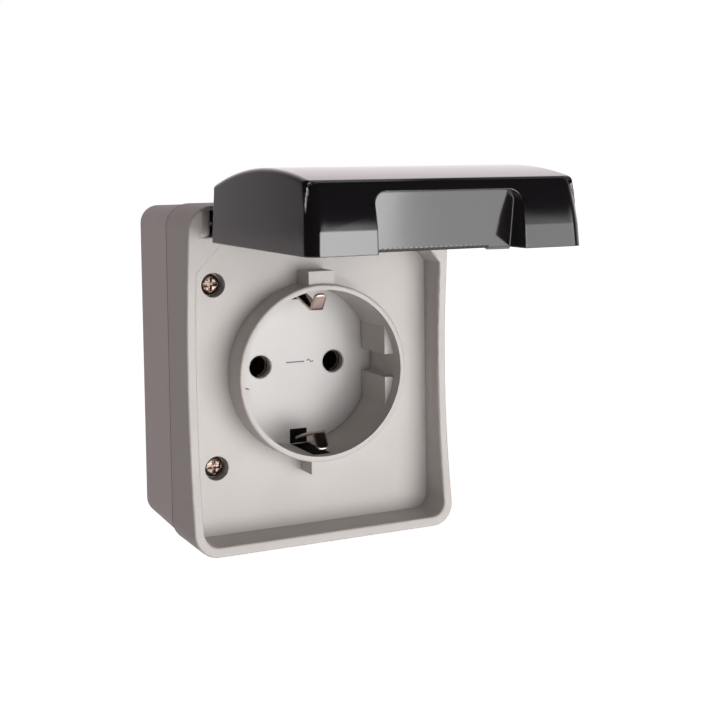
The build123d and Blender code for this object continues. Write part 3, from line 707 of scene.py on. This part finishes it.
BACK = (0, 1, 0)
BACK_TURN = (-0.2, 0.4)
BACK_RIGHT = (0.6, 0.8, 0)
BACK_RIGHT_TURN = (0.36, 0.95)
MATT_LEVELS = (0.07, 0.66)
GLOSS_LEVELS = (0.02, 0.88)
FRONT_TINT = (1.0, 0.88, 0.82, 1)
BACK_TINT = (1.0, 0.915, 0.94, 1)
WHITE = (1, 1, 1, 1)


def sky_ramp(tree, coord, direction, turn, levels):
    # Goes from the first level to the second where the sky turns towards a direction
    along = tree.nodes.new("ShaderNodeVectorMath")
    along.operation = "DOT_PRODUCT"
    along.inputs[1].default_value = direction
    tree.links.new(coord.outputs["Generated"], along.inputs[0])
    node = tree.nodes.new("ShaderNodeMapRange")
    node.interpolation_type = "SMOOTHSTEP"
    ends = ("From Min", "From Max", "To Min", "To Max")
    for end, number in zip(ends, (*turn, *levels)):
        node.inputs[end].default_value = number
    tree.links.new(along.outputs["Value"], node.inputs["Value"])
    return node.outputs["Result"]


def add_world():
    # White for the camera. Matt surfaces see a dim front and a lighter back, and glossy ones
    # the white backdrop behind the object on the right
    world = bpy.data.worlds.new("studio")
    bpy.context.scene.world = world
    world.use_nodes = True
    tree = world.node_tree
    back = tree.nodes["Background"]
    path = tree.nodes.new("ShaderNodeLightPath")
    coord = tree.nodes.new("ShaderNodeTexCoord")
    sharp = tree.nodes.new("ShaderNodeMath")
    sharp.operation = "MAXIMUM"
    tree.links.new(path.outputs["Is Glossy Ray"], sharp.inputs[0])
    tree.links.new(path.outputs["Is Transmission Ray"], sharp.inputs[1])
    level = tree.nodes.new("ShaderNodeMix")
    matt_sky = sky_ramp(tree, coord, BACK, BACK_TURN, MATT_LEVELS)
    gloss_sky = sky_ramp(tree, coord, BACK_RIGHT, BACK_RIGHT_TURN, GLOSS_LEVELS)
    tree.links.new(sharp.outputs[0], level.inputs["Factor"])
    tree.links.new(matt_sky, level.inputs["A"])
    tree.links.new(gloss_sky, level.inputs["B"])
    seen = tree.nodes.new("ShaderNodeMix")
    seen.inputs["B"].default_value = 1.0
    tree.links.new(path.outputs["Is Camera Ray"], seen.inputs["Factor"])
    tree.links.new(level.outputs["Result"], seen.inputs["A"])
    tint = tree.nodes.new("ShaderNodeMix")
    tint.data_type = "RGBA"
    tint.inputs["A"].default_value = FRONT_TINT
    tint.inputs["B"].default_value = BACK_TINT
    tree.links.new(sky_ramp(tree, coord, BACK, BACK_TURN, (0, 1)), tint.inputs["Factor"])
    colour = tree.nodes.new("ShaderNodeMix")
    colour.data_type = "RGBA"
    colour.inputs["B"].default_value = WHITE
    tree.links.new(tint.outputs["Result"], colour.inputs["A"])
    tree.links.new(path.outputs["Is Camera Ray"], colour.inputs["Factor"])
    tree.links.new(colour.outputs["Result"], back.inputs["Color"])
    tree.links.new(seen.outputs["Result"], back.inputs["Strength"])


WIDTH_FEATHER = 0.02
HEIGHT_FEATHER = 0.24


def soften_panel(data):
    # Fades the panel out towards its edges, over a share of its width and one of its height
    data.use_nodes = True
    tree = data.node_tree
    place = tree.nodes.new("ShaderNodeNewGeometry")
    parts = tree.nodes.new("ShaderNodeSeparateXYZ")
    tree.links.new(place.outputs["Parametric"], parts.inputs[0])
    fades = []
    for axis, feather in (("X", WIDTH_FEATHER), ("Y", HEIGHT_FEATHER)):
        for start, end in ((0, feather), (1, 1 - feather)):
            fade = tree.nodes.new("ShaderNodeMapRange")
            fade.interpolation_type = "SMOOTHSTEP"
            fade.inputs["From Min"].default_value = start
            fade.inputs["From Max"].default_value = end
            tree.links.new(parts.outputs[axis], fade.inputs["Value"])
            fades.append(fade.outputs["Result"])
    total = fades[0]
    for fade in fades[1:]:
        both = tree.nodes.new("ShaderNodeMath")
        both.operation = "MULTIPLY"
        tree.links.new(total, both.inputs[0])
        tree.links.new(fade, both.inputs[1])
        total = both.outputs[0]
    tree.links.new(total, tree.nodes["Emission"].inputs["Strength"])


PANEL_DISTANCE = 1.2


def add_panel(name, azimuth, elevation, width, height, radiance, gloss):
    # Soft box aimed at the origin; azimuth 0 is straight in front, 90 to the right. It either
    # lights matt surfaces or is only mirrored by glossy ones
    a, e = math.radians(azimuth), math.radians(elevation)
    out = Vector((math.sin(a) * math.cos(e), -math.cos(a) * math.cos(e), math.sin(e)))
    data = bpy.data.lights.new(name, "AREA")
    data.shape = "RECTANGLE"
    data.size = width
    data.size_y = height
    data.energy = radiance * math.pi * width * height
    lamp = bpy.data.objects.new(name, data)
    turn = (-out).to_track_quat("-Z", "Y").to_matrix().to_4x4()
    lamp.matrix_world = Matrix.Translation(out * PANEL_DISTANCE) @ turn
    bpy.context.scene.collection.objects.link(lamp)
    lamp.visible_camera = False
    lamp.visible_glossy = gloss
    lamp.visible_diffuse = not gloss
    if gloss:
        soften_panel(data)


add_floor()
add_world()
add_panel(
    "key_mirror", azimuth=5.2, elevation=-8, width=0.86, height=1.32, radiance=5.8, gloss=True
)
add_panel(
    "side_mirror", azimuth=43.0, elevation=-8, width=0.75, height=1.32, radiance=2.3, gloss=True
)
add_panel("key_panel", azimuth=18, elevation=-4, width=1.1, height=0.8, radiance=4.5, gloss=False)
